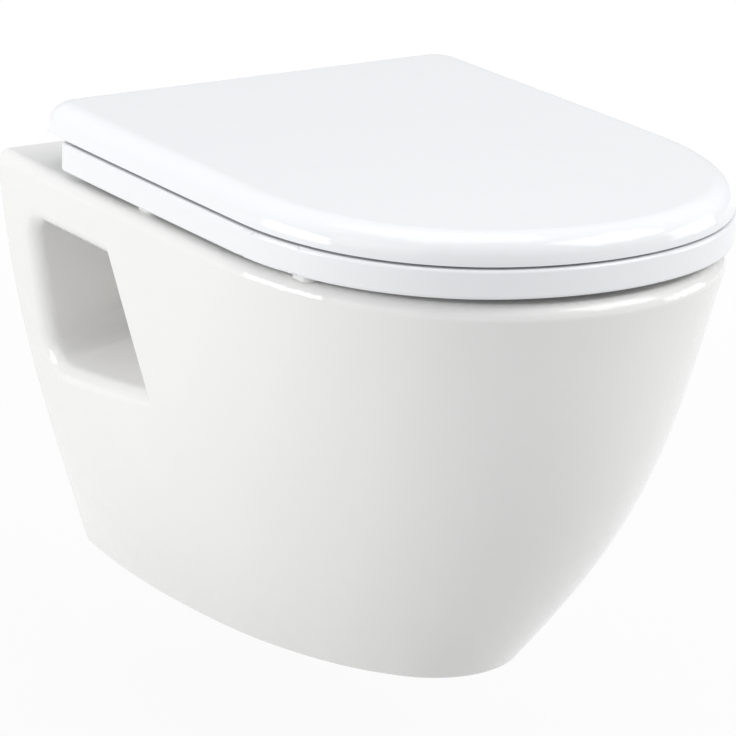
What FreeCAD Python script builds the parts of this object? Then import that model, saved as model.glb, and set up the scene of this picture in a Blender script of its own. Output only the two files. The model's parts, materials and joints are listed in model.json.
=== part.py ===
import FreeCAD, Part
import math
import os

Vector = FreeCAD.Vector

# Wall hung toilet: a vitreous china pan with a soft-closing seat ring and lid.
# Millimetres, +Z up. The wall is the plane y = 0 and the pan reaches towards -Y.
# The origin lies midway between the two wall fixings, on the wall plane.

# Pan body
pan_width = 356.0                # to the sharp rim edge, 355 once it is rounded
pan_projection = 523.0           # likewise, 520 once it is rounded
pan_height = 310.0
rim_height = 80.0                # rim above the wall fixings
rim_edge_radius = 9.0
behind_wall = 30.0               # how far the outlines run on before the wall plane cuts them
foot_edge_radius = 10.0
# Each level of the body: share of the height below the rim, then how far the
# side, the side at the wall and the front draw in, and where the front curve starts.
pan_levels = [
    (0.00, 0.0, 0.5, 0.0, -303.0),
    (0.25, 5.5, 11.5, 20.0, -255.0),
    (0.50, 13.5, 29.0, 47.0, -206.0),
    (0.75, 31.0, 52.5, 94.0, -158.0),
    (1.00, 71.5, 78.5, 157.5, -110.0),
]
front_roundness = 2.15           # exponent of the front curve, 2 is an ellipse

# Bowl
rim_side_width = 47.5            # flat rim beside the bowl
rim_front_width = 50.0
deck_depth = 138.0               # wall to the rear of the bowl's mouth
ledge_drop = 38.0                # rim to the flush ledge
ledge_width = 12.0
mouth_edge_radius = 6.0
bowl_middle = -280.0             # widest place of the bowl
# Bowl below the ledge: drop below the rim, then how far the side, rear and front draw in.
bowl_levels = [
    (38.0, 0.0, 0.0, 0.0),
    (80.0, 10.0, 8.0, 18.0),
    (140.0, 34.0, 18.0, 76.0),
    (190.0, 62.0, 28.0, 146.0),
]

# Water trap and outlet
trap_radius = 30.0
trap_bend_radius = 35.0
sump_y = -215.0                  # centre of the falling leg
sump_drop = 225.0                # rim to where the falling leg starts
sump_step = 2.0                  # how much wider the basin ends than the trap starts
trap_floor_drop = 302.0          # rim to the lowest inside point
weir_drop = 195.0                # rim to the top of the weir
outlet_drop = 180.0              # rim to the outlet's centre
outlet_bore_radius = 44.0
spigot_radius = 51.0
outlet_depth = 108.0             # wall to the inner end of the outlet's bore
spigot_setback = 10.0            # wall to the spigot's end

# Flush inlet
inlet_drop = 45.0                # rim to the inlet's centre
inlet_bore_radius = 27.5
inlet_socket_radius = 36.0
inlet_setback = 12.0
inlet_length = 50.0
flush_passage_radius = 20.0
flush_slot_half_width = 34.0
flush_slot_half_height = 8.0
flush_slot_drop = 26.0

# Open back of the pan
back_depth = 75.0
back_top_drop = 14.0
back_upper_half_width = 43.0
back_shoulder_drop = 158.0
back_shoulder_fall = 16.0
back_lower_half_width = 84.0
back_floor_drop = 286.0
back_floor_half_width = 66.0
back_corner_radius = 12.0
connector_room = 10.0            # round the spigot, for the waste connector's socket

# Side niches that give a hand access to the fixings
flange_thickness = 40.0
niche_ceiling_drop = 42.0
niche_inner_x = 54.0
niche_mouth_inset = 6.0          # pan's widest side to the outer corners of the walls
niche_mouth_front = -157.0       # front wall at the ceiling
niche_mouth_front_low = -203.0   # front wall at the floor
niche_floor_front = 130.0        # drop below the rim
niche_floor_rear = 157.0
niche_front_lean = 45.0          # how far the front wall comes back at the inner end
niche_floor_lean = 34.0          # how far the floor rises there
niche_reach = 1.25               # carries the walls on past the pan's skin
niche_corner_radius = 16.0
niche_end_radius = 8.0
niche_lip_radius = 12.0

# Wall fixings
fixing_spacing = 180.0
fixing_hole_radius = 9.0
stud_radius = 6.0                # in the wall
stud_inner_radius = 5.0          # through the pan
stud_in_wall = 60.0
stud_beyond_nut = 11.0
sleeve_clearance = 0.2
wall_washer_radius = 16.0
wall_washer_thickness = 3.0
wall_nut_flats = 17.0
wall_nut_height = 8.0
wall_nut_chamfer_slope = 0.6     # how steeply the nut's corners are turned off
cap_wall = 1.6
cap_clearance = 0.5
cap_edge_radius = 4.0

# Seat ring
seat_gap = 5.0                   # rim to the seat's underside, filled by the buffers
seat_thickness = 20.0
seat_half_width = 177.0
seat_rear = -83.0
seat_front = -518.0
seat_curve_start = -328.0
seat_rear_taper = 2.0
seat_corner_radius = 10.0
seat_opening_half_width = 108.0
seat_opening_rear = -168.0
seat_opening_front = -452.0
seat_inner_radius = 9.0
seat_outer_radius = 2.5

# Lid
lid_gap = 1.8                    # seat to the lid's lower edge
lid_top_height = 47.0            # rim to the top of the lid's crown
lid_half_width = 174.5
lid_rear = -45.0
lid_front = -517.0
lid_curve_start = -331.0
lid_rear_taper = 2.5
lid_corner_radius = 26.0
lid_edge_radius = 17.0
lid_wall = 5.0
lid_skirt = 8.0
lid_inner_chamfer = 6.0

# Buffers
seat_buffer_width = 12.0
seat_buffer_length = 20.0
seat_buffer_inset = 14.0         # seat's edge to the buffer's middle
seat_buffer_rear = -192.0
seat_buffer_front = -384.0
buffer_peg_radius = 3.0
buffer_peg_depth = 7.0
lid_buffer_radius = 7.0
lid_buffer_inset = 34.0
lid_buffer_rear = -215.0
lid_buffer_front = -405.0
lid_boss_radius = 8.5
lid_buffer_height = 4.0

# Seat hinges
hinge_spacing = 155.0
hinge_bolt_y = -85.0
pivot_y = -60.0
pivot_rise = 30.0                # rim to the pivot
bracket_width = 14.0
bracket_eye_radius = 8.0
bracket_column = 12.5
bracket_shoulder_radius = 11.0
bracket_bend_radius = 5.0
bracket_arm_drop = 5.5           # pivot to the underside of the arm
foot_radius = 18.0
foot_thickness = 3.0
foot_gasket_thickness = 1.0
pin_radius = 3.0
running_clearance = 0.05
side_clearance = 0.5
ear_radius = 8.5
ear_clearance = 1.0              # lid's skirt to the seat's ears and the brackets
notch_clearance = 1.5            # seat to the brackets
ear_root_rise = 3.0              # seat's underside to the root of its ears
ear_top_drop = 3.0               # seat's top to the top of that root
seat_ear_width = 24.0
lid_ear_width = 26.0
bush_radius = 5.0
damper_radius = 6.0
pin_end_gap = 2.0

# Hinge bolts under the deck
hinge_hole_radius = 7.5
hinge_bolt_radius = 4.0
hinge_bolt_in_foot = 10.0
hinge_bolt_tail = 20.0           # below the wing nut's washer
hinge_washer_radius = 11.0
hinge_washer_thickness = 2.0
hinge_sleeve_length = 22.0
hinge_sleeve_clearance = 0.3
wing_nut_radius = 7.0
wing_nut_height = 9.0
wing_span = 34.0
wing_thickness = 3.0
wing_top_drop = 2.0              # nut's top to the top of its wings
wing_beyond = 3.0                # how far the wings reach below the hub
wing_tip_radius = 3.5

# Sizes that follow from the ones above
half_width = pan_width / 2
niche_mouth_x = half_width - niche_mouth_inset
foot_z = rim_height - pan_height
seat_bottom = rim_height + seat_gap
seat_top = seat_bottom + seat_thickness
lid_bottom = seat_top + lid_gap
lid_top = rim_height + lid_top_height
pivot_z = rim_height + pivot_rise
ceiling_z = rim_height - niche_ceiling_drop
hinge_x = hinge_spacing / 2
fixing_x = fixing_spacing / 2
far = 2 * pan_projection         # longer than anything that is cut

across = Vector(1, 0, 0)
outwards = Vector(0, -1, 0)
up = Vector(0, 0, 1)


def fused(solids):
    """One solid from several that overlap."""
    return solids[0].fuse(solids[1:]).removeSplitter()


def one_solid(shape):
    """The single solid of a result, without its compound wrapper."""
    if len(shape.Solids) != 1:
        raise ValueError("expected one solid, found %d" % len(shape.Solids))
    return shape.Solids[0]


def box_between(x0, x1, y0, y1, z0, z1):
    """Box from its lowest to its highest corner."""
    return Part.makeBox(x1 - x0, y1 - y0, z1 - z0, Vector(x0, y0, z0))


def tube(outer_radius, inner_radius, length, start, direction):
    """Hollow cylinder."""
    outer = Part.makeCylinder(outer_radius, length, start, direction)
    return outer.cut(Part.makeCylinder(inner_radius, length, start, direction))


def mirrored(shape):
    """The same piece on the other side of the middle plane."""
    return shape.mirror(Vector(0, 0, 0), across)


def prism(points, direction):
    """Solid from a closed outline of corners, pushed along a direction."""
    return Part.Face(Part.makePolygon(points + [points[0]])).extrude(direction)


# Outlines

front_spans = 2                  # pairs of arcs along a quarter of the front


def arc_middle(start, direction, end):
    """Middle of the arc that leaves its start along a direction and reaches its end."""
    chord = end - start
    along = Vector(chord).normalize()
    sideways = direction - along * direction.dot(along)
    rise = chord.Length / 2 * math.tan(along.getAngle(direction) / 2)
    return (start + end) * 0.5 + sideways.normalize() * rise


def pair_of_arcs(start, direction, end, end_direction):
    """Two arcs, three points each, that run smoothly from one place to another."""
    chord = end - start
    square = 2 * (1 - direction.dot(end_direction))
    linear = 2 * chord.dot(direction + end_direction)
    reach = (math.sqrt(linear ** 2 + 4 * square * chord.dot(chord)) - linear) / (2 * square)
    joint = (start + direction * reach + end - end_direction * reach) * 0.5
    return [
        (start, arc_middle(start, direction, joint), joint),
        (joint, arc_middle(end, end_direction * -1, joint), end),
    ]


def wire_with_mirror(arcs):
    """Closed wire from the arcs of the right-hand half and their mirror images."""
    left = []
    for arc in reversed(arcs):
        left.append([Vector(-p.x, p.y, p.z) for p in reversed(arc)])
    edges = [Part.Arc(*arc).toShape() for arc in arcs + left]
    start = arcs[0][0]
    if start.x > 0:
        edges.append(Part.LineSegment(left[-1][2], start).toShape())
    return Part.Wire(edges)


def side_x(y, width, rear_width, rear, curve_start):
    """Distance from the middle to the bowed side of a D outline."""
    bow = width - rear_width
    radius = ((rear - curve_start) ** 2 + bow ** 2) / (2 * bow)
    return width - radius + math.sqrt(radius ** 2 - (y - curve_start) ** 2)


def front_place(width, curve_start, front, share, z):
    """Place on the right-hand half of the front curve and the direction there."""
    angle = share * math.pi / 2
    reach = curve_start - front
    across_share = math.cos(angle) ** (2 / front_roundness)
    forward_share = math.sin(angle) ** (2 / front_roundness)
    place = Vector(width * across_share, curve_start - reach * forward_share, z)
    power = front_roundness - 1
    direction = Vector(-forward_share ** power / reach, -across_share ** power / width, 0)
    return place, direction.normalize()


def d_wire(width, rear_width, rear, curve_start, front, z, behind=0):
    """Closed D outline of arcs with a straight rear edge.

    Each side bows out from the rear to the start of the front curve, which
    follows a superellipse. The sides can start some way behind the rear.
    """
    arc = []
    start = rear + behind
    for y in (start, (start + curve_start) / 2, curve_start):
        arc.append(Vector(side_x(y, width, rear_width, rear, curve_start), y, z))
    arcs = [arc]
    for i in range(front_spans):
        place, direction = front_place(width, curve_start, front, i / front_spans, z)
        end, end_direction = front_place(width, curve_start, front, (i + 1) / front_spans, z)
        arcs += pair_of_arcs(place, direction, end, end_direction)
    return wire_with_mirror(arcs)


def d_prism(width, rear_width, rear, curve_start, front, z, height, corner):
    """Upright solid on a D outline with rounded rear corners."""
    wire = d_wire(width, rear_width, rear, curve_start, front, z)
    solid = Part.Face(wire).extrude(up * height)
    corners = [e for e in solid.Edges if upright(e) and e.BoundBox.YMax > rear - 1]
    return solid.makeFillet(corner, corners)


def upright(edge):
    """True for a straight edge that stands along Z."""
    return edge.BoundBox.ZLength > 1 and edge.BoundBox.XLength < 0.5 and edge.BoundBox.YLength < 0.5


def level_edges(shape, z):
    """Edges that lie at a height."""
    return [e for e in shape.Edges if abs(e.BoundBox.ZMin - z) < 0.1 and abs(e.BoundBox.ZMax - z) < 0.1]


def egg_wire(width, middle, rear, front, z):
    """Closed oval of arcs that is widest at its middle."""
    rear_end = Vector(0, rear, z)
    side = Vector(width, middle, z)
    front_end = Vector(0, front, z)
    arcs = pair_of_arcs(rear_end, across, side, outwards)
    arcs += pair_of_arcs(side, outwards, front_end, across * -1)
    return wire_with_mirror(arcs)


def half_width_at(y, width, rear_width, rear, curve_start, front):
    """Half the width of a D outline at a place along its length."""
    if y > curve_start:
        return side_x(y, width, rear_width, rear, curve_start)
    share = (y - curve_start) / (front - curve_start)
    return width * (1 - share ** front_roundness) ** (1 / front_roundness)


# Pan

def pan_outside():
    """Smooth outer skin of the pan, from the rim down to its blunt foot."""
    sections = []
    for depth, side_in, wall_in, front_in, curve_start in pan_levels:
        z = rim_height - depth * pan_height
        width = half_width - side_in
        wall_width = half_width - wall_in
        front = front_in - pan_projection
        sections.append(d_wire(width, wall_width, 0, curve_start, front, z, behind_wall))
    body = Part.makeLoft(sections, True, False)
    body = body.makeFillet(rim_edge_radius, [e for e in level_edges(body, rim_height) if e.BoundBox.YMin < 0])
    body = body.makeFillet(foot_edge_radius, [e for e in level_edges(body, foot_z) if e.BoundBox.YMin < 0])
    return body.common(box_between(-far, far, -far, 0, -far, far))


def bowl_hollow():
    """Inside of the bowl: upright mouth, flush ledge and the falling basin."""
    mouth_width = half_width - rim_side_width
    mouth_front = rim_front_width - pan_projection
    ledge_z = rim_height - ledge_drop
    mouth = Part.Face(egg_wire(mouth_width, bowl_middle, -deck_depth, mouth_front, ledge_z))
    mouth = mouth.extrude(up * (ledge_drop + 1))
    sections = []
    for drop, side_in, rear_in, front_in in bowl_levels:
        width = mouth_width - ledge_width - side_in
        rear = -deck_depth - ledge_width - rear_in
        front = mouth_front + ledge_width + front_in
        sections.append(egg_wire(width, bowl_middle, rear, front, rim_height - drop))
    sump = trap_radius + sump_step
    sections.append(egg_wire(sump, sump_y, sump_y + sump, sump_y - sump, rim_height - sump_drop))
    basin = Part.makeLoft(sections, True, False)
    return fused([mouth, basin])


def trap_path():
    """Line through the middle of the trap: down, back up over the weir and out."""
    floor_z = rim_height - trap_floor_drop + trap_radius
    weir_z = rim_height - weir_drop + trap_radius
    bend = trap_bend_radius
    rise_y = sump_y + 2 * bend
    start = Vector(0, sump_y, rim_height - sump_drop + 1)
    dip_start = Vector(0, sump_y, floor_z + bend)
    dip = Vector(0, sump_y + bend, floor_z)
    dip_end = Vector(0, rise_y, floor_z + bend)
    over_start = Vector(0, rise_y, weir_z - bend)
    over = Vector(0, rise_y + bend, weir_z)
    end = Vector(0, rise_y + bend + trap_radius / 2, weir_z)
    corner = bend * math.sqrt(0.5)
    first = Vector(0, sump_y + bend - corner, floor_z + bend - corner)
    second = Vector(0, sump_y + bend + corner, floor_z + bend - corner)
    third = Vector(0, rise_y + bend - corner, weir_z - bend + corner)
    edges = [
        Part.LineSegment(start, dip_start).toShape(),
        Part.Arc(dip_start, first, dip).toShape(),
        Part.Arc(dip, second, dip_end).toShape(),
        Part.LineSegment(dip_end, over_start).toShape(),
        Part.Arc(over_start, third, over).toShape(),
        Part.LineSegment(over, end).toShape(),
    ]
    return Part.Wire(edges)


def trap_hollow():
    """Water passage of the trap with the wider outlet bore behind it."""
    start = Vector(0, sump_y, rim_height - sump_drop + 1)
    ring = Part.Wire(Part.makeCircle(trap_radius, start, up))
    passage = trap_path().makePipeShell([ring], True, False)
    outlet = Part.makeCylinder(outlet_bore_radius, outlet_depth, outlet_centre(-outlet_depth), -outwards)
    return fused([passage, outlet])


def outlet_centre(y):
    return Vector(0, y, rim_height - outlet_drop)


def inlet_centre(y):
    return Vector(0, y, rim_height - inlet_drop)


def slot_wire(half_across, half_high, y, z):
    """Closed smooth outline across the flush passage."""
    top = Vector(0, y, z + half_high)
    side = Vector(half_across, y, z)
    bottom = Vector(0, y, z - half_high)
    down = up * -1
    arcs = pair_of_arcs(top, across, side, down)
    arcs += pair_of_arcs(side, down, bottom, across * -1)
    return wire_with_mirror(arcs)


def flush_hollow():
    """Inlet bore and the passage that flattens into a slot under the rim."""
    bore_end = -inlet_setback - inlet_length
    bore = Part.makeCylinder(inlet_bore_radius, inlet_length, inlet_centre(bore_end), -outwards)
    inlet_z = rim_height - inlet_drop
    slot_z = rim_height - flush_slot_drop
    passage = Part.makeLoft([
        slot_wire(flush_passage_radius, flush_passage_radius, bore_end + 1, inlet_z),
        slot_wire(flush_passage_radius, flush_passage_radius, bore_end - 12, inlet_z),
        slot_wire(flush_slot_half_width, flush_slot_half_height, -deck_depth + 6, slot_z),
        slot_wire(flush_slot_half_width, flush_slot_half_height, -deck_depth - 12, slot_z),
    ], True, False)
    return fused([bore, passage])


def back_hollow():
    """Open back of the pan, round the outlet spigot and the inlet socket."""
    right = [
        (back_upper_half_width, back_top_drop),
        (back_upper_half_width, back_shoulder_drop - back_shoulder_fall),
        (back_lower_half_width, back_shoulder_drop),
        (back_floor_half_width, back_floor_drop),
    ]
    corners = right + [(-x, drop) for x, drop in reversed(right)]
    points = [Vector(x, -back_depth, rim_height - drop) for x, drop in corners]
    hollow = prism(points, Vector(0, back_depth + 1, 0))
    long_edges = [e for e in hollow.Edges if e.BoundBox.YLength > back_depth]
    hollow = hollow.makeFillet(back_corner_radius, long_edges)
    room = Part.makeCylinder(spigot_radius + connector_room, back_depth + 1,
                             outlet_centre(-back_depth), -outwards)
    hollow = fused([hollow, room])
    spigot_start = outlet_centre(-back_depth - spigot_setback)
    spigot = Part.makeCylinder(spigot_radius, back_depth, spigot_start, -outwards)
    socket_start = inlet_centre(-back_depth - inlet_setback)
    socket = Part.makeCylinder(inlet_socket_radius, back_depth, socket_start, -outwards)
    return hollow.cut(spigot).cut(socket)


def rounded_outline(corners, radii, x):
    """Closed outline across X with an arc at each corner."""
    edges = []
    count = len(corners)
    starts = []
    ends = []
    for i in range(count):
        corner = Vector(x, *corners[i])
        before = Vector(x, *corners[i - 1]) - corner
        after = Vector(x, *corners[(i + 1) % count]) - corner
        half_angle = before.getAngle(after) / 2
        reach = radii[i] / math.tan(half_angle)
        start = corner + before.normalize() * reach
        end = corner + after.normalize() * reach
        middle_line = (before + after).normalize()
        middle = corner + middle_line * (radii[i] / math.sin(half_angle) - radii[i])
        edges.append(Part.Arc(start, middle, end).toShape())
        starts.append(start)
        ends.append(end)
    joined = []
    for i in range(count):
        joined.append(edges[i])
        joined.append(Part.LineSegment(ends[i], starts[(i + 1) % count]).toShape())
    return Part.Wire(joined)


def niche_corners(share):
    """Four corners across X, at a share of the way from the end wall to the mouth.

    Each wall keeps its direction, so all walls of the niche are flat.
    """
    front_shift = niche_front_lean * (1 - share)
    floor_shift = niche_floor_lean * (1 - share)
    top = Vector(0, niche_mouth_front + front_shift, ceiling_z)
    front_line = Vector(0, niche_mouth_front_low + front_shift, rim_height - niche_floor_front) - top
    floor_rear = Vector(0, -flange_thickness, rim_height - niche_floor_rear + floor_shift)
    floor_line = Vector(0, niche_mouth_front_low + flange_thickness, niche_floor_rear - niche_floor_front)
    turn = front_line.cross(floor_line).x
    low = top + front_line * ((floor_rear - top).cross(floor_line).x / turn)
    x = niche_inner_x + (niche_mouth_x - niche_inner_x) * share
    rear_top = Vector(x, -flange_thickness, ceiling_z)
    return [rear_top, Vector(x, top.y, top.z), Vector(x, low.y, low.z), Vector(x, floor_rear.y, floor_rear.z)]


def niche_hollow():
    """Right-hand side niche: flat walls that lean in towards a smaller end wall."""
    outlines = []
    for share in (0, niche_reach):
        corners = niche_corners(share)
        outlines.append(Part.makePolygon(corners + [corners[0]]))
    hollow = Part.makeLoft(outlines, True, True)
    long_edges = [e for e in hollow.Edges if e.BoundBox.XLength > (niche_mouth_x - niche_inner_x) / 2]
    rear_edges = [e for e in long_edges if e.BoundBox.YMin > -flange_thickness - 1]
    hollow = hollow.makeFillet(niche_corner_radius, rear_edges)
    end_edges = [e for e in hollow.Edges if e.BoundBox.XMax < niche_inner_x + 0.5]
    return hollow.makeFillet(niche_end_radius, end_edges)


def upright_hole(x, y, radius, z0, z1):
    return Part.makeCylinder(radius, z1 - z0, Vector(x, y, z0), up)


def make_pan():
    """Ceramic body with its bowl, trap, flush inlet, niches and fixing holes."""
    body = pan_outside()
    niche = niche_hollow()
    body = body.cut(niche).cut(mirrored(niche))
    body = round_niche_lips(body)
    body = body.cut(bowl_hollow())
    mouth_edges = [e for e in level_edges(body, rim_height) if e.BoundBox.YMax < -deck_depth + 1
                   and e.BoundBox.YMin > rim_front_width - pan_projection - 1]
    body = body.makeFillet(mouth_edge_radius, mouth_edges)
    body = body.cut(trap_hollow()).cut(back_hollow()).cut(flush_hollow())
    for side in (-1, 1):
        hinge_hole = upright_hole(side * hinge_x, hinge_bolt_y, hinge_hole_radius,
                                  ceiling_z - 1, rim_height + 1)
        start = Vector(side * fixing_x, -flange_thickness - 1, 0)
        fixing_hole = Part.makeCylinder(fixing_hole_radius, flange_thickness + 2, start, -outwards)
        body = body.cut(hinge_hole).cut(fixing_hole)
    return one_solid(body)


def round_niche_lips(body):
    """Rounds the floor, rear and ceiling edge of each niche's mouth; the front edge stays crisp."""
    lips = []
    for edge in body.Edges:
        box = edge.BoundBox
        at_side = min(abs(box.XMin), abs(box.XMax)) > (niche_inner_x + niche_mouth_x) / 2
        if at_side and abs(box.YMin + flange_thickness) < 1 and box.ZLength > 2 * niche_corner_radius:
            lips.append(edge)
    return body.makeFillet(niche_lip_radius, lips)


# Wall fixings

def wall_studs():
    """Two stepped studs, thick in the wall and thinner through the pan's flange."""
    inner_end = -flange_thickness - wall_washer_thickness - wall_nut_height - stud_beyond_nut
    in_wall = Part.makeCylinder(stud_radius, stud_in_wall, Vector(fixing_x, 0, 0), -outwards)
    through_pan = Part.makeCylinder(stud_inner_radius, -inner_end, Vector(fixing_x, inner_end, 0), -outwards)
    return on_both_sides(fused([in_wall, through_pan]))


def stud_sleeves():
    """Plastic sleeves that centre the studs in the ceramic holes."""
    outer = fixing_hole_radius - sleeve_clearance
    start = Vector(fixing_x, -flange_thickness, 0)
    bore = stud_inner_radius + sleeve_clearance
    return on_both_sides(tube(outer, bore, flange_thickness, start, -outwards))


def wall_washers():
    start = Vector(fixing_x, -flange_thickness - wall_washer_thickness, 0)
    bore = stud_inner_radius + sleeve_clearance
    return on_both_sides(tube(wall_washer_radius, bore, wall_washer_thickness, start, -outwards))


def hexagon(flats, start, length):
    """Hexagonal bar along Y."""
    corner_radius = flats / math.sqrt(3)
    points = []
    for i in range(6):
        angle = math.radians(60 * i)
        offset = Vector(corner_radius * math.cos(angle), 0, corner_radius * math.sin(angle))
        points.append(start + offset)
    return prism(points, Vector(0, length, 0))


def wall_nuts():
    """Hexagon nuts with their corners turned off."""
    start = Vector(fixing_x, -flange_thickness - wall_washer_thickness - wall_nut_height, 0)
    nut = hexagon(wall_nut_flats, start, wall_nut_height)
    cone_end = wall_nut_flats / 2 + wall_nut_height / wall_nut_chamfer_slope
    nut = nut.common(Part.makeCone(wall_nut_flats / 2, cone_end, wall_nut_height, start, -outwards))
    bore = Part.makeCylinder(stud_inner_radius, wall_nut_height, start, -outwards)
    return on_both_sides(nut.cut(bore))


def nut_caps():
    """Caps with a rounded end over the nuts and stud ends."""
    base_y = -flange_thickness - wall_washer_thickness
    inner = wall_nut_flats / math.sqrt(3) + cap_clearance
    depth = wall_nut_height + stud_beyond_nut + cap_clearance
    start = Vector(fixing_x, base_y, 0)
    shell = Part.makeCylinder(inner + cap_wall, depth + cap_wall, start, outwards)
    tip = [e for e in shell.Edges if e.BoundBox.YMax < base_y - depth]
    shell = shell.makeFillet(cap_edge_radius, tip)
    room = Part.makeCylinder(inner, depth, start, outwards)
    tip = [e for e in room.Edges if e.BoundBox.YMax < base_y - depth + 1]
    room = room.makeChamfer(cap_wall, tip)
    return on_both_sides(shell.cut(room))


# Seat ring and lid

def seat_body():
    """D-shaped plate with rounded edges, an oval opening and notches for the brackets."""
    plate = d_prism(seat_half_width, seat_half_width - seat_rear_taper, seat_rear, seat_curve_start,
                    seat_front, seat_bottom, seat_thickness, seat_corner_radius)
    rims = level_edges(plate, seat_bottom) + level_edges(plate, seat_top)
    plate = plate.makeFillet(seat_outer_radius, rims)
    opening = Part.Face(egg_wire(seat_opening_half_width, bowl_middle, seat_opening_rear,
                                 seat_opening_front, seat_bottom - 1)).extrude(up * (seat_thickness + 2))
    plate = plate.cut(opening)
    top_edges = [e for e in level_edges(plate, seat_top) if is_seat_opening(e)]
    plate = plate.makeFillet(seat_inner_radius, top_edges)
    bottom_edges = [e for e in level_edges(plate, seat_bottom) if is_seat_opening(e)]
    plate = plate.makeFillet(seat_outer_radius, bottom_edges)
    for side in (-1, 1):
        notch_half = bracket_width / 2 + notch_clearance
        middle = side * hinge_x
        plate = plate.cut(box_between(middle - notch_half, middle + notch_half,
                                      bracket_front() - notch_clearance, seat_rear + 1,
                                      seat_bottom - 1, seat_top + 1))
    return plate


def bracket_front():
    """Front face of the brackets' columns."""
    return hinge_bolt_y - bracket_column / 2


def is_seat_opening(edge):
    """True for an edge round the seat's opening."""
    box = edge.BoundBox
    inside = box.XMax < seat_opening_half_width + 1 and box.YMax < seat_opening_rear + 1
    return inside and box.YMin > seat_opening_front - 1


def seat_ear(side):
    """Arm from the seat's rear edge up to its eye on the hinge pin."""
    inner_x = seat_ear_x()
    root_y = seat_rear - seat_corner_radius
    root_z = seat_bottom + ear_root_rise
    eye = Part.makeCylinder(ear_radius, seat_ear_width, Vector(inner_x, pivot_y, pivot_z), across)
    lean = math.atan2(pivot_z - root_z, pivot_y - seat_rear)
    below = Vector(0, math.sin(lean), -math.cos(lean)) * ear_radius
    middle = Vector(inner_x, pivot_y, pivot_z)
    points = [
        Vector(inner_x, root_y, root_z),
        Vector(inner_x, seat_rear, root_z),
        middle + below,
        middle,
        middle - below,
        Vector(inner_x, root_y, seat_top - ear_top_drop),
    ]
    arm = prism(points, across * seat_ear_width)
    ear = fused([arm, eye])
    return ear if side > 0 else mirrored(ear)


def pivot_hole(radius, side, inner_x, width):
    """Cylinder along the hinge line, between two distances from the middle."""
    hole = Part.makeCylinder(radius, width, Vector(inner_x, pivot_y, pivot_z), across)
    return hole if side > 0 else mirrored(hole)


def seat_ear_x():
    return hinge_x + bracket_width / 2 + side_clearance


def lid_ear_x():
    return hinge_x - bracket_width / 2 - side_clearance - lid_ear_width


def make_seat_ring():
    """Seat ring with its two hinge ears and the holes for the buffers' pegs."""
    seat = fused([seat_body(), seat_ear(1), seat_ear(-1)])
    seat = seat.cut(pivot_hole(bush_radius, -1, seat_ear_x(), seat_ear_width))
    seat = seat.cut(pivot_hole(damper_radius, 1, seat_ear_x(), seat_ear_width))
    hole_top = seat_bottom + buffer_peg_depth
    for x, y in seat_buffer_places():
        seat = seat.cut(upright_hole(x, y, buffer_peg_radius, seat_bottom - 1, hole_top))
    return one_solid(seat)


def lid_shape(inset, z, height, corner):
    """Upright D-shaped solid, drawn in by the same amount all round."""
    width = lid_half_width - inset
    return d_prism(width, width - lid_rear_taper, lid_rear - inset, lid_curve_start,
                   lid_front + inset, z, height, corner)


def lid_shell():
    """Cover with a wide soft edge, hollow underneath."""
    outside = lid_shape(0, lid_bottom, lid_top - lid_bottom, lid_corner_radius)
    outside = outside.makeFillet(lid_edge_radius, level_edges(outside, lid_top))
    hollow = lid_shape(lid_skirt, lid_bottom - 1, lid_top - lid_wall - lid_bottom + 1,
                       lid_corner_radius - lid_skirt)
    hollow = hollow.makeChamfer(lid_inner_chamfer, level_edges(hollow, lid_top - lid_wall))
    return outside.cut(hollow)


def lid_ear(side):
    """Block under the lid with its eye on the hinge pin."""
    start = Vector(lid_ear_x(), pivot_y, pivot_z)
    eye = Part.makeCylinder(ear_radius, lid_ear_width, start, across)
    root = box_between(lid_ear_x(), lid_ear_x() + lid_ear_width, pivot_y - ear_radius, pivot_y + ear_radius,
                       pivot_z, lid_top - lid_wall / 2)
    ear = fused([eye, root])
    return ear if side > 0 else mirrored(ear)


def make_lid():
    """Lid with its hinge ears, its buffer bosses and the room for the hinges."""
    pieces = [lid_shell(), lid_ear(1), lid_ear(-1)]
    boss_bottom = seat_top + lid_buffer_height
    for x, y in lid_buffer_places():
        pieces.append(upright_hole(x, y, lid_boss_radius, boss_bottom, lid_top - lid_wall / 2))
    lid = fused(pieces)
    room_start = hinge_x - bracket_width / 2 - side_clearance
    room_end = seat_ear_x() + seat_ear_width + side_clearance
    room_radius = ear_radius + ear_clearance
    slot = box_between(room_start, room_end, pivot_y, lid_rear + 1, lid_bottom - 1, pivot_z + room_radius)
    for side in (-1, 1):
        lid = lid.cut(slot if side > 0 else mirrored(slot))
    lid = lid.cut(pivot_hole(damper_radius, -1, lid_ear_x(), lid_ear_width))
    lid = lid.cut(pivot_hole(bush_radius, 1, lid_ear_x(), lid_ear_width))
    for x, y in lid_buffer_places():
        lid = lid.cut(upright_hole(x, y, buffer_peg_radius, boss_bottom - 1, boss_bottom + buffer_peg_depth))
    return one_solid(lid)


# Buffers

def seat_edge_at(y):
    """Half the seat's width at a place along its length."""
    return half_width_at(y, seat_half_width, seat_half_width - seat_rear_taper, seat_rear,
                         seat_curve_start, seat_front)


def lid_edge_at(y):
    """Half the lid's width at a place along its length."""
    return half_width_at(y, lid_half_width, lid_half_width - lid_rear_taper, lid_rear,
                         lid_curve_start, lid_front)


def seat_buffer_places():
    places = []
    for y in (seat_buffer_rear, seat_buffer_front):
        for side in (-1, 1):
            places.append((side * (seat_edge_at(y) - seat_buffer_inset), y))
    return places


def lid_buffer_places():
    places = []
    for y in (lid_buffer_rear, lid_buffer_front):
        for side in (-1, 1):
            places.append((side * (lid_edge_at(y) - lid_buffer_inset), y))
    return places


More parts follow.
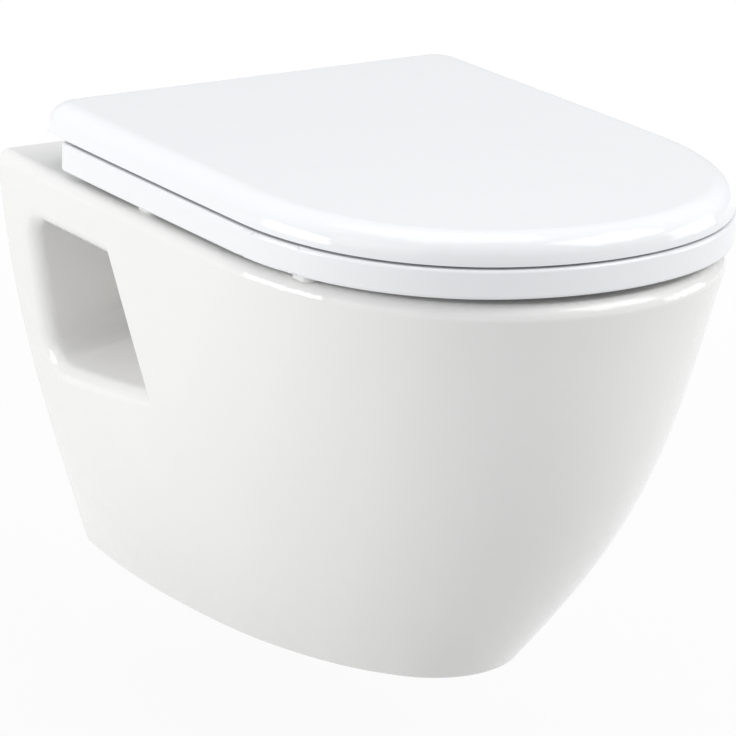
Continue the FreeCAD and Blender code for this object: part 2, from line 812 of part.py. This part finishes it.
def rounded_pad(width, length, height, x, y, z):
    """Upright pad with half-round ends along Y."""
    radius = width / 2
    straight = length / 2 - radius
    middle = box_between(x - radius, x + radius, y - straight, y + straight, z, z + height)
    ends = [upright_hole(x, y + end * straight, radius, z, z + height) for end in (-1, 1)]
    return fused([middle] + ends)


def seat_buffers():
    """Four pads between the seat and the rim, each with a peg into the seat."""
    pads = []
    for x, y in seat_buffer_places():
        pad = rounded_pad(seat_buffer_width, seat_buffer_length, seat_gap, x, y, rim_height)
        peg = upright_hole(x, y, buffer_peg_radius, seat_bottom - 1, seat_bottom + buffer_peg_depth)
        pads.append(fused([pad, peg]))
    return Part.makeCompound(pads)


def lid_buffers():
    """Four small pads between the lid and the seat, each with a peg into its boss."""
    pads = []
    for x, y in lid_buffer_places():
        pad = upright_hole(x, y, lid_buffer_radius, seat_top, seat_top + lid_buffer_height)
        peg = upright_hole(x, y, buffer_peg_radius, seat_top + lid_buffer_height - 1,
                           seat_top + lid_buffer_height + buffer_peg_depth)
        pads.append(fused([pad, peg]))
    return Part.makeCompound(pads)


# Seat hinges

def hinge_bracket(side):
    """Round foot with a swan-necked arm that carries the hinge pin."""
    x0 = hinge_x - bracket_width / 2
    foot_bottom = rim_height + foot_gasket_thickness
    foot = upright_hole(hinge_x, hinge_bolt_y, foot_radius, foot_bottom, foot_bottom + foot_thickness)
    foot = foot.makeChamfer(foot_thickness / 3, level_edges(foot, foot_bottom + foot_thickness))
    front = bracket_front()
    rear = front + bracket_column
    arm_bottom = pivot_z - bracket_arm_drop
    eye_top = pivot_z + bracket_eye_radius
    eye_rear = pivot_y + bracket_eye_radius
    end_radius = (eye_top - arm_bottom) / 2
    corners = [
        (front, foot_bottom), (front, eye_top), (eye_rear, eye_top),
        (eye_rear, arm_bottom), (rear, arm_bottom), (rear, foot_bottom),
    ]
    radii = [foot_thickness / 3, bracket_shoulder_radius, end_radius, end_radius - 0.1,
             bracket_bend_radius, foot_thickness / 3]
    bracket = Part.Face(rounded_outline(corners, radii, x0)).extrude(across * bracket_width)
    bracket = fused([foot, bracket])
    bracket = bracket.cut(Part.makeCylinder(pin_radius, bracket_width, Vector(x0, pivot_y, pivot_z), across))
    bracket = bracket.cut(upright_hole(hinge_x, hinge_bolt_y, hinge_bolt_radius, foot_bottom - 1,
                                       foot_bottom + hinge_bolt_in_foot))
    bracket = one_solid(bracket)
    return bracket if side > 0 else mirrored(bracket)


def foot_gaskets():
    """Thin rubber discs between the hinge feet and the ceramic."""
    start = Vector(hinge_x, hinge_bolt_y, rim_height)
    gasket = tube(foot_radius, hinge_bolt_radius + hinge_sleeve_clearance, foot_gasket_thickness, start, up)
    return on_both_sides(gasket)


def hinge_pin(side):
    """Pin through the lid's ear, the bracket and the seat's ear."""
    start = lid_ear_x() + pin_end_gap
    end = seat_ear_x() + seat_ear_width - pin_end_gap
    pin = Part.makeCylinder(pin_radius, end - start, Vector(start, pivot_y, pivot_z), across)
    pin = pin.makeChamfer(pin_radius / 4, [e for e in pin.Edges if e.BoundBox.XLength < 0.1])
    return pin if side > 0 else mirrored(pin)


def bush(outer_radius, side, inner_x, width):
    """Bush or damper body that turns on the hinge pin."""
    start = Vector(inner_x, pivot_y, pivot_z)
    body = tube(outer_radius, pin_radius + running_clearance, width, start, across)
    return body if side > 0 else mirrored(body)


def hinge_bolts():
    """Threaded bolts from the hinge feet down through the deck."""
    top = rim_height + foot_gasket_thickness + hinge_bolt_in_foot
    bottom = ceiling_z - hinge_washer_thickness - hinge_bolt_tail
    return on_both_sides(upright_hole(hinge_x, hinge_bolt_y, hinge_bolt_radius, bottom, top))


def hinge_bolt_sleeves():
    """Rubber cones that centre the bolts in the ceramic."""
    bottom_radius = hinge_hole_radius - hinge_sleeve_clearance
    top_radius = hinge_bolt_radius + 2 * hinge_sleeve_clearance + 1
    start = Vector(hinge_x, hinge_bolt_y, ceiling_z)
    cone = Part.makeCone(bottom_radius, top_radius, hinge_sleeve_length, start, up)
    bore = upright_hole(hinge_x, hinge_bolt_y, hinge_bolt_radius + hinge_sleeve_clearance,
                        ceiling_z, ceiling_z + hinge_sleeve_length)
    return on_both_sides(cone.cut(bore))


def hinge_washers():
    start = Vector(hinge_x, hinge_bolt_y, ceiling_z - hinge_washer_thickness)
    bore = hinge_bolt_radius + hinge_sleeve_clearance
    return on_both_sides(tube(hinge_washer_radius, bore, hinge_washer_thickness, start, up))


def wing_nuts():
    """Wing nuts that are tightened from inside the niches."""
    top = ceiling_z - hinge_washer_thickness
    hub = upright_hole(hinge_x, hinge_bolt_y, wing_nut_radius, top - wing_nut_height, top)
    half_span = wing_span / 2
    half_thick = wing_thickness / 2
    wings = []
    for end in (-1, 1):
        y = hinge_bolt_y + end * half_span / 2
        wing = box_between(hinge_x - half_thick, hinge_x + half_thick, y - half_span / 2, y + half_span / 2,
                           top - wing_nut_height - wing_beyond, top - wing_top_drop)
        tips = [e for e in wing.Edges if abs(e.BoundBox.YMin - hinge_bolt_y) > half_span - 0.5
                and e.BoundBox.XLength > 1]
        wings.append(wing.makeFillet(wing_tip_radius, tips))
    nut = fused([hub] + wings)
    bore = upright_hole(hinge_x, hinge_bolt_y, hinge_bolt_radius, top - wing_nut_height - wing_beyond, top)
    return on_both_sides(nut.cut(bore))


def on_both_sides(shape):
    """A piece and its mirror image, as a group of two solids."""
    return Part.makeCompound([one_solid(shape), one_solid(mirrored(shape))])


def save(name, shape):
    shape.exportStep("parts/%s.step" % name)


os.makedirs("parts", exist_ok=True)
save("pan", make_pan())
save("seat_ring", make_seat_ring())
save("lid", make_lid())
save("seat_buffers", seat_buffers())
save("lid_buffers", lid_buffers())
for side_name, side in (("left", -1), ("right", 1)):
    save("hinge_bracket_" + side_name, hinge_bracket(side))
    save("hinge_pin_" + side_name, hinge_pin(side))
save("seat_bush", bush(bush_radius, -1, seat_ear_x(), seat_ear_width))
save("seat_damper", bush(damper_radius, 1, seat_ear_x(), seat_ear_width))
save("lid_bush", bush(bush_radius, 1, lid_ear_x(), lid_ear_width))
save("lid_damper", bush(damper_radius, -1, lid_ear_x(), lid_ear_width))
save("hinge_foot_gaskets", foot_gaskets())
save("hinge_bolts", hinge_bolts())
save("hinge_bolt_sleeves", hinge_bolt_sleeves())
save("hinge_washers", hinge_washers())
save("wing_nuts", wing_nuts())
save("wall_studs", wall_studs())
save("stud_sleeves", stud_sleeves())
save("wall_washers", wall_washers())
save("wall_nuts", wall_nuts())
save("nut_caps", nut_caps())
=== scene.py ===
import json
import math

import bmesh
import bpy
from mathutils import Matrix, Vector


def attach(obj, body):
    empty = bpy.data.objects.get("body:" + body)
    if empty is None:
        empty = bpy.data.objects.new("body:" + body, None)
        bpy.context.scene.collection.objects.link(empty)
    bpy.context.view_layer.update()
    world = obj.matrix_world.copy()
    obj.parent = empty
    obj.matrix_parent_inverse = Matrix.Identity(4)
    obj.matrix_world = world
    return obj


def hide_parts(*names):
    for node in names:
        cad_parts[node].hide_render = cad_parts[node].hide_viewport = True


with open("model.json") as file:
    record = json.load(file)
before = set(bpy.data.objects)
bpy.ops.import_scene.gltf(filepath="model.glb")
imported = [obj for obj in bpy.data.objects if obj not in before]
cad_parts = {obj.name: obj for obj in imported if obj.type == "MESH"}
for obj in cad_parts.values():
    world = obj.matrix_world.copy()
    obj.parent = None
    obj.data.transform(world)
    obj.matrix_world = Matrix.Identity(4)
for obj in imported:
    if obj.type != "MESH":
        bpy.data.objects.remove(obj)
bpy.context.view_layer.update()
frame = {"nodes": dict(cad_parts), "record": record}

# Wall hung toilet: the looks of a glazed china pan with its glossy seat ring and lid.
# Metres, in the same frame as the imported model: the wall is y = 0 and the front is -Y.

# Camera
camera_place = Vector((-1.8099, -3.0387, 0.9809))
camera_azimuth = math.radians(-32.619)
camera_elevation = math.radians(17.254)
camera_roll = math.radians(1.401)
camera_lens = 244.7
camera_sensor = 36
camera_shift = (0.0080, 0.0209)
camera_reach = 50                # nothing on the stage lies further off

# Stage
floor_height = -0.32             # a pan hangs with its rim 0.4 m above the floor
floor_half_size = 12.0
floor_near = 0.35                # round the pan the floor shows its shadow
floor_far = 1.6                  # from here on it is as white as the backdrop
floor_white_share = 0.93         # of the backdrop's white in the floor near the pan
floor_grey = 0.6
floor_roughness = 0.9
floor_gloss = 0.1
world_tint = (0.97, 0.98, 1.0, 1)
world_strength = 0.66

# Lamps: place, aim, size and power in watts
lamps = {
    "key_lamp": ((1.9, -2.4, 2.6), (0, -0.25, 0), (2.4, 2.0), 44),
    "top_lamp": ((-0.3, -0.2, 3.0), (0, -0.25, 0), (2.6, 2.6), 27),
    "left_lamp": ((-3.0, -0.9, 0.9), (0, -0.15, 0), (2.2, 1.8), 9),
    "niche_lamp": ((-2.4, 0.8, 0.1), (-0.1, -0.1, 0), (1.4, 1.2), 26),
    "right_lamp": ((3.2, -1.3, 0.4), (0, -0.35, -0.05), (1.8, 1.6), 20),
}

# Finish of the carried-over shapes
weld_distance = 0.00002
sharp_angle = math.radians(28)
coat_roughness = 0.04
china_coat = 0.35
seat_coat = 0.2
bare_china_roughness = 0.85
wall_face_depth = 0.0004         # how near the wall a face has to be to stay unglazed

# Threads, as crest radius, depth and pitch
wall_thread = (0.00598, 0.00100, 0.00175)
nut_thread = (0.00498, 0.00085, 0.00150)
bolt_thread = (0.00398, 0.00070, 0.00125)
root_share = 0.12                # of the pitch: where the root ends
crest_start_share = 0.46
crest_end_share = 0.58
thread_steps = 24                # round one turn
thread_merge_distance = 0.000002
turns_below = 1.5                # a thread starts this far below its rod, and is cut there
rod_segments = 48

# Where the threaded rods lie
stud_x = 0.090
stud_end = 0.060                 # in the wall
stud_inner_end = -0.062          # in the niche
shank_end = -0.030
hinge_bolt_x = 0.0775
hinge_bolt_y = -0.085
hinge_bolt_span = (0.016, 0.091)


# Nodes and groups

class Graph:
    """A node tree that is built by short calls."""

    def __init__(self, tree):
        self.tree = tree

    def add(self, kind, **values):
        """New node. Values named after its inputs set them, others set its properties."""
        node = self.tree.nodes.new(kind)
        for name, value in values.items():
            label = name.replace("_", " ").title()
            if hasattr(node, name):
                setattr(node, name, value)
            elif label in node.inputs:
                node.inputs[label].default_value = value
            else:
                raise KeyError("%s has no %s" % (kind, name))
        return node

    def join(self, start, end):
        self.tree.links.new(start, end)


def new_group(name, inputs, outputs):
    """Shader group with named sockets: (name, kind, default) in, (name, kind) out."""
    tree = bpy.data.node_groups.new(name, "ShaderNodeTree")
    for label, kind, default in inputs:
        socket = tree.interface.new_socket(label, in_out="INPUT", socket_type="NodeSocket" + kind)
        socket.default_value = default
    for label, kind in outputs:
        tree.interface.new_socket(label, in_out="OUTPUT", socket_type="NodeSocket" + kind)
    graph = Graph(tree)
    graph.start = tree.nodes.new("NodeGroupInput").outputs
    graph.end = tree.nodes.new("NodeGroupOutput").inputs
    return graph


def ripple_group():
    """Slow and fine waves of a poured or moulded surface, as a height from 0 to 1."""
    graph = new_group("surface_ripple", [("Slow Scale", "Float", 30.0), ("Fine Scale", "Float", 400.0),
                                         ("Fine Share", "Float", 0.2)], [("Height", "Float")])
    place = graph.add("ShaderNodeTexCoord")
    slow = graph.add("ShaderNodeTexNoise", detail=1.0)
    fine = graph.add("ShaderNodeTexNoise", detail=2.0)
    mix = graph.add("ShaderNodeMix")
    for noise, scale in ((slow, "Slow Scale"), (fine, "Fine Scale")):
        graph.join(place.outputs["Object"], noise.inputs["Vector"])
        graph.join(graph.start[scale], noise.inputs["Scale"])
    graph.join(graph.start["Fine Share"], mix.inputs["Factor"])
    graph.join(slow.outputs["Fac"], mix.inputs["A"])
    graph.join(fine.outputs["Fac"], mix.inputs["B"])
    graph.join(mix.outputs["Result"], graph.end["Height"])
    return graph.tree


def tone_group():
    """Colour that drifts between two close tones, and a mask of the same drift."""
    graph = new_group("tone_drift", [("Light", "Color", (0.8, 0.8, 0.8, 1)),
                                     ("Dark", "Color", (0.7, 0.7, 0.7, 1)),
                                     ("Scale", "Float", 6.0), ("Sharpness", "Float", 1.0)],
                      [("Color", "Color"), ("Mask", "Float")])
    place = graph.add("ShaderNodeTexCoord")
    noise = graph.add("ShaderNodeTexNoise", detail=4.0, roughness=0.55)
    centred = graph.add("ShaderNodeMath", operation="SUBTRACT")
    centred.inputs[1].default_value = 0.5
    stretched = graph.add("ShaderNodeMath", operation="MULTIPLY_ADD", use_clamp=True)
    stretched.inputs[2].default_value = 0.5
    mix = graph.add("ShaderNodeMix", data_type="RGBA")
    graph.join(place.outputs["Object"], noise.inputs["Vector"])
    graph.join(graph.start["Scale"], noise.inputs["Scale"])
    graph.join(noise.outputs["Fac"], centred.inputs[0])
    graph.join(centred.outputs["Value"], stretched.inputs[0])
    graph.join(graph.start["Sharpness"], stretched.inputs[1])
    graph.join(stretched.outputs["Value"], mix.inputs["Factor"])
    graph.join(graph.start["Light"], mix.inputs["A"])
    graph.join(graph.start["Dark"], mix.inputs["B"])
    graph.join(mix.outputs["Result"], graph.end["Color"])
    graph.join(stretched.outputs["Value"], graph.end["Mask"])
    return graph.tree


def wall_face_group():
    """Mask of the flat back that meets the wall."""
    graph = new_group("wall_face", [("Depth", "Float", wall_face_depth)], [("Mask", "Float")])
    place = graph.add("ShaderNodeTexCoord")
    parts = graph.add("ShaderNodeSeparateXYZ")
    reach = graph.add("ShaderNodeMath", operation="ADD")
    behind = graph.add("ShaderNodeMath", operation="GREATER_THAN")
    behind.inputs[1].default_value = 0.0
    graph.join(place.outputs["Object"], parts.inputs["Vector"])
    graph.join(parts.outputs["Y"], reach.inputs[0])
    graph.join(graph.start["Depth"], reach.inputs[1])
    graph.join(reach.outputs["Value"], behind.inputs[0])
    graph.join(behind.outputs["Value"], graph.end["Mask"])
    return graph.tree


def range_group():
    """Spreads a mask over a range of values, such as roughness."""
    graph = new_group("value_range", [("Mask", "Float", 0.5), ("Low", "Float", 0.1), ("High", "Float", 0.3)],
                      [("Value", "Float")])
    spread = graph.add("ShaderNodeMapRange")
    graph.join(graph.start["Mask"], spread.inputs["Value"])
    graph.join(graph.start["Low"], spread.inputs["To Min"])
    graph.join(graph.start["High"], spread.inputs["To Max"])
    graph.join(spread.outputs["Result"], graph.end["Value"])
    return graph.tree


groups = {"ripple": ripple_group(), "tone": tone_group(), "range": range_group(),
          "wall face": wall_face_group()}


def place_group(graph, key, **values):
    """A group in a material, with its own values."""
    node = graph.tree.nodes.new("ShaderNodeGroup")
    node.node_tree = groups[key]
    for name, value in values.items():
        node.inputs[name.replace("_", " ").title()].default_value = value
    return node


def surface(name, light, dark, drift, roughness, ripple, metallic=0.0, coat=0.0):
    """Material with drifting tone and roughness and a rippled height.

    drift is (scale, sharpness), roughness (low, high) and
    ripple (slow scale, fine scale, share of the fine waves, height in metres).
    """
    material = bpy.data.materials.new(name)
    material.use_nodes = True
    graph = Graph(material.node_tree)
    shader = material.node_tree.nodes["Principled BSDF"]
    shader.inputs["Metallic"].default_value = metallic
    shader.inputs["Coat Weight"].default_value = coat
    shader.inputs["Coat Roughness"].default_value = coat_roughness
    tone = place_group(graph, "tone", light=(*light, 1), dark=(*dark, 1), scale=drift[0], sharpness=drift[1])
    spread = place_group(graph, "range", low=roughness[0], high=roughness[1])
    waves = place_group(graph, "ripple", slow_scale=ripple[0], fine_scale=ripple[1], fine_share=ripple[2])
    bump = graph.add("ShaderNodeBump", distance=ripple[3])
    graph.join(tone.outputs["Color"], shader.inputs["Base Color"])
    graph.join(tone.outputs["Mask"], spread.inputs["Mask"])
    graph.join(spread.outputs["Value"], shader.inputs["Roughness"])
    graph.join(waves.outputs["Height"], bump.inputs["Height"])
    graph.join(bump.outputs["Normal"], shader.inputs["Normal"])
    return material


def glazed_china():
    """Clear glaze over white china, left bare where the pan meets the wall."""
    material = surface("glazed_china", (0.855, 0.85, 0.835), (0.835, 0.828, 0.81), (5, 1.6), (0.05, 0.09),
                       (22, 260, 0.10, 0.0004), coat=china_coat)
    graph = Graph(material.node_tree)
    shader = material.node_tree.nodes["Principled BSDF"]
    back = place_group(graph, "wall face", depth=wall_face_depth)
    bare = place_group(graph, "tone", light=(0.74, 0.71, 0.66, 1), dark=(0.66, 0.63, 0.58, 1),
                       scale=60, sharpness=2)
    colour = graph.add("ShaderNodeMix", data_type="RGBA")
    matt = graph.add("ShaderNodeMapRange")
    uncoated = graph.add("ShaderNodeMapRange")
    uncoated.inputs["To Min"].default_value = china_coat
    uncoated.inputs["To Max"].default_value = 0.0
    matt.inputs["To Max"].default_value = bare_china_roughness
    glaze_colour = shader.inputs["Base Color"].links[0].from_socket
    glaze_roughness = shader.inputs["Roughness"].links[0].from_socket
    graph.join(back.outputs["Mask"], colour.inputs["Factor"])
    graph.join(glaze_colour, colour.inputs["A"])
    graph.join(bare.outputs["Color"], colour.inputs["B"])
    graph.join(colour.outputs["Result"], shader.inputs["Base Color"])
    graph.join(back.outputs["Mask"], matt.inputs["Value"])
    graph.join(glaze_roughness, matt.inputs["To Min"])
    graph.join(matt.outputs["Result"], shader.inputs["Roughness"])
    graph.join(back.outputs["Mask"], uncoated.inputs["Value"])
    graph.join(uncoated.outputs["Result"], shader.inputs["Coat Weight"])
    return material


def seat_plastic():
    return surface("seat_plastic", (0.862, 0.872, 0.880), (0.850, 0.860, 0.870), (8, 1.4), (0.10, 0.15),
                   (40, 700, 0.25, 0.0001), coat=seat_coat)


# Plainer finishes: what surface() takes, with 1.0 at the end for a metal
finishes = {
    "buffer_plastic": ((0.80, 0.80, 0.79), (0.74, 0.74, 0.73), (60, 2), (0.45, 0.6),
        (300, 2000, 0.5, 0.0001)),
    "hinge_metal": ((0.80, 0.80, 0.81), (0.72, 0.72, 0.74), (25, 2), (0.08, 0.18),
        (120, 1500, 0.4, 0.00005), 1.0),
    "pin_steel": ((0.62, 0.62, 0.63), (0.52, 0.52, 0.53), (80, 2), (0.22, 0.35),
        (200, 3000, 0.6, 0.00005), 1.0),
    "bush_plastic": ((0.78, 0.78, 0.76), (0.72, 0.72, 0.70), (60, 2), (0.35, 0.5),
        (300, 2500, 0.5, 0.00008)),
    "damper_plastic": ((0.17, 0.175, 0.19), (0.12, 0.125, 0.135), (60, 2), (0.4, 0.55),
        (300, 2500, 0.5, 0.0001)),
    "seal_rubber": ((0.045, 0.045, 0.045), (0.03, 0.03, 0.03), (90, 2), (0.6, 0.8),
        (400, 3000, 0.6, 0.0002)),
    "bolt_steel": ((0.60, 0.60, 0.62), (0.50, 0.51, 0.50), (50, 2.5), (0.25, 0.42),
        (200, 2500, 0.6, 0.0001), 1.0),
    "washer_plastic": ((0.80, 0.80, 0.79), (0.73, 0.73, 0.71), (70, 2), (0.45, 0.6),
        (300, 2500, 0.5, 0.0001)),
    "wing_nut_plastic": ((0.76, 0.76, 0.75), (0.70, 0.70, 0.69), (70, 2), (0.4, 0.55),
        (300, 2500, 0.5, 0.0001)),
    "cap_plastic": ((0.80, 0.80, 0.79), (0.76, 0.76, 0.75), (60, 2), (0.2, 0.3),
        (200, 2000, 0.4, 0.00006)),
}

materials = {"glazed_china": glazed_china(), "seat_plastic": seat_plastic()}
for finish, values in finishes.items():
    materials[finish] = surface(finish, *values)


# Carried-over shapes

def dress_nodes():
    """Gives every node its finish, with smooth faces between its real edges."""
    for part in frame["record"]["subparts"]:
        node = frame["nodes"][part["node"]]
        for holder in node.material_slots:
            holder.material = materials[part["material_slot"]]
        for face in node.data.polygons:
            face.use_smooth = True
        weld = node.modifiers.new("weld", "WELD")
        weld.merge_threshold = weld_distance
        split = node.modifiers.new("real_edges", "EDGE_SPLIT")
        split.split_angle = sharp_angle
        flow = node.modifiers.new("even_normals", "WEIGHTED_NORMAL")
        flow.keep_sharp = True


dress_nodes()


# Threaded rods

def threaded_rod(thread, length):
    """Closed rod along Z with a helical thread, cut square at both ends."""
    crest, depth, pitch = thread
    root = crest - depth
    bm = bmesh.new()
    profile = ((0.0, root), (root_share, root), (crest_start_share, crest), (crest_end_share, crest))
    line = []
    for turn in range(int(length / pitch) + 3):
        for share, radius in profile:
            line.append(bm.verts.new((radius, 0, (turn + share - turns_below) * pitch)))
    edges = [bm.edges.new(pair) for pair in zip(line, line[1:])]
    bmesh.ops.spin(bm, geom=line + edges, cent=(0, 0, 0), axis=(0, 0, 1), angle=2 * math.pi,
                   dvec=(0, 0, pitch / thread_steps), steps=thread_steps, use_merge=False)
    bmesh.ops.remove_doubles(bm, verts=bm.verts, dist=thread_merge_distance)
    for height, above in ((0.0, False), (length, True)):
        cut = bmesh.ops.bisect_plane(bm, geom=bm.verts[:] + bm.edges[:] + bm.faces[:],
                                     plane_co=(0, 0, height), plane_no=(0, 0, 1),
                                     clear_inner=not above, clear_outer=above)
        rim = [edge for edge in cut["geom_cut"] if isinstance(edge, bmesh.types.BMEdge)]
        bmesh.ops.holes_fill(bm, edges=rim, sides=0)
    return bm


def plain_rod(radius, length):
    """Closed rod along Z."""
    bm = bmesh.new()
    bmesh.ops.create_cone(bm, cap_ends=True, segments=rod_segments, radius1=radius, radius2=radius,
                          depth=length, matrix=Matrix.Translation((0, 0, length / 2)))
    return bm


def piece_from(name, rods, material_name, node):
    """One object from rods and their places. It stands for a node that rides the fixed body."""
    whole = bmesh.new()
    for rod, place in rods:
        bmesh.ops.transform(rod, matrix=place, verts=rod.verts)
        part = bpy.data.meshes.new(name)
        rod.to_mesh(part)
        rod.free()
        whole.from_mesh(part)
        bpy.data.meshes.remove(part)
    bmesh.ops.recalc_face_normals(whole, faces=whole.faces)
    mesh = bpy.data.meshes.new(name)
    whole.to_mesh(mesh)
    whole.free()
    mesh.materials.append(materials[material_name])
    piece = bpy.data.objects.new(name, mesh)
    bpy.context.scene.collection.objects.link(piece)
    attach(piece, "root")
    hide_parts(node)


def make_studs():
    """Wall studs with their threads: in the wall, and again where the nut sits."""
    rods = []
    along_y = Matrix.Rotation(math.radians(-90), 4, "X")
    for side in (-1, 1):
        for y, rod in ((0.0, threaded_rod(wall_thread, stud_end)),
                       (stud_inner_end, threaded_rod(nut_thread, shank_end - stud_inner_end)),
                       (shank_end, plain_rod(nut_thread[0], -shank_end))):
            rods.append((rod, Matrix.Translation((side * stud_x, y, 0)) @ along_y))
    piece_from("threaded_studs", rods, "bolt_steel", "wall_studs")


def make_hinge_bolts():
    rods = []
    low, high = hinge_bolt_span
    for side in (-1, 1):
        rods.append((threaded_rod(bolt_thread, high - low),
                     Matrix.Translation((side * hinge_bolt_x, hinge_bolt_y, low))))
    piece_from("threaded_hinge_bolts", rods, "bolt_steel", "hinge_bolts")


make_studs()
make_hinge_bolts()


# Stage, light and camera

def make_floor():
    """Pale floor that keeps the shadow near the pan and is plain white further off."""
    bm = bmesh.new()
    bmesh.ops.create_grid(bm, x_segments=1, y_segments=1, size=floor_half_size)
    bmesh.ops.translate(bm, verts=bm.verts, vec=Vector((0, 0, floor_height)))
    mesh = bpy.data.meshes.new("floor")
    bm.to_mesh(mesh)
    bm.free()
    floor = bpy.data.objects.new("floor", mesh)
    bpy.context.scene.collection.objects.link(floor)
    material = bpy.data.materials.new("pale_floor")
    material.use_nodes = True
    graph = Graph(material.node_tree)
    shader = material.node_tree.nodes["Principled BSDF"]
    shader.inputs["Base Color"].default_value = (floor_grey, floor_grey, floor_grey, 1)
    shader.inputs["Roughness"].default_value = floor_roughness
    shader.inputs["Specular IOR Level"].default_value = floor_gloss
    place = graph.add("ShaderNodeTexCoord")
    reach = graph.add("ShaderNodeVectorMath", operation="LENGTH")
    fade = graph.add("ShaderNodeMapRange", interpolation_type="SMOOTHSTEP")
    fade.inputs["From Min"].default_value = floor_near
    fade.inputs["From Max"].default_value = floor_far
    fade.inputs["To Min"].default_value = floor_white_share
    seen = graph.add("ShaderNodeLightPath")
    either = graph.add("ShaderNodeMath", operation="MAXIMUM")
    amount = graph.add("ShaderNodeMath", operation="MULTIPLY")
    white = graph.add("ShaderNodeEmission")
    white.inputs["Color"].default_value = (1, 1, 1, 1)
    mix = graph.add("ShaderNodeMixShader")
    out = material.node_tree.nodes["Material Output"]
    graph.join(place.outputs["Object"], reach.inputs[0])
    graph.join(reach.outputs["Value"], fade.inputs["Value"])
    graph.join(seen.outputs["Is Camera Ray"], either.inputs[0])
    graph.join(seen.outputs["Is Glossy Ray"], either.inputs[1])
    graph.join(either.outputs["Value"], amount.inputs[0])
    graph.join(fade.outputs["Result"], amount.inputs[1])
    graph.join(amount.outputs["Value"], mix.inputs["Fac"])
    graph.join(shader.outputs["BSDF"], mix.inputs[1])
    graph.join(white.outputs["Emission"], mix.inputs[2])
    graph.join(mix.outputs["Shader"], out.inputs["Surface"])
    mesh.materials.append(material)


def make_world():
    """Even studio light, seen as plain white by the camera."""
    world = bpy.data.worlds.new("studio")
    bpy.context.scene.world = world
    world.use_nodes = True
    graph = Graph(world.node_tree)
    background = world.node_tree.nodes["Background"]
    background.inputs["Color"].default_value = world_tint
    background.inputs["Strength"].default_value = world_strength
    white = graph.add("ShaderNodeBackground")
    white.inputs["Color"].default_value = (1, 1, 1, 1)
    seen = graph.add("ShaderNodeLightPath")
    mix = graph.add("ShaderNodeMixShader")
    graph.join(seen.outputs["Is Camera Ray"], mix.inputs["Fac"])
    graph.join(background.outputs["Background"], mix.inputs[1])
    graph.join(white.outputs["Background"], mix.inputs[2])
    graph.join(mix.outputs["Shader"], world.node_tree.nodes["World Output"].inputs["Surface"])


def make_lamp(name, place, aim, size, power):
    """Large soft lamp that points at a place on the pan."""
    lamp = bpy.data.lights.new(name, "AREA")
    lamp.shape = "RECTANGLE"
    lamp.size, lamp.size_y = size
    lamp.energy = power
    holder = bpy.data.objects.new(name, lamp)
    holder.location = place
    holder.rotation_mode = "QUATERNION"
    holder.rotation_quaternion = (Vector(aim) - Vector(place)).to_track_quat("-Z", "Y")
    holder.visible_camera = False
    bpy.context.scene.collection.objects.link(holder)


def make_camera():
    camera = bpy.data.cameras.new("camera")
    camera.sensor_width = camera_sensor
    camera.lens = camera_lens
    camera.shift_x, camera.shift_y = camera_shift
    camera.clip_end = camera_reach
    holder = bpy.data.objects.new("camera", camera)
    a, e, r = camera_azimuth, camera_elevation, camera_roll
    back = Vector((math.sin(a) * math.cos(e), -math.cos(a) * math.cos(e), math.sin(e)))
    level = Vector((math.cos(a), math.sin(a), 0))
    upright = back.cross(level)
    right = level * math.cos(r) + upright * math.sin(r)
    top = upright * math.cos(r) - level * math.sin(r)
    turn = Matrix((right, top, back)).transposed().to_4x4()
    holder.matrix_world = Matrix.Translation(camera_place) @ turn
    bpy.context.scene.collection.objects.link(holder)
    bpy.context.scene.camera = holder


make_floor()
make_world()
for lamp_name, (place, aim, size, power) in lamps.items():
    make_lamp(lamp_name, place, aim, size, power)
make_camera()
bpy.context.scene.view_settings.view_transform = "Standard"
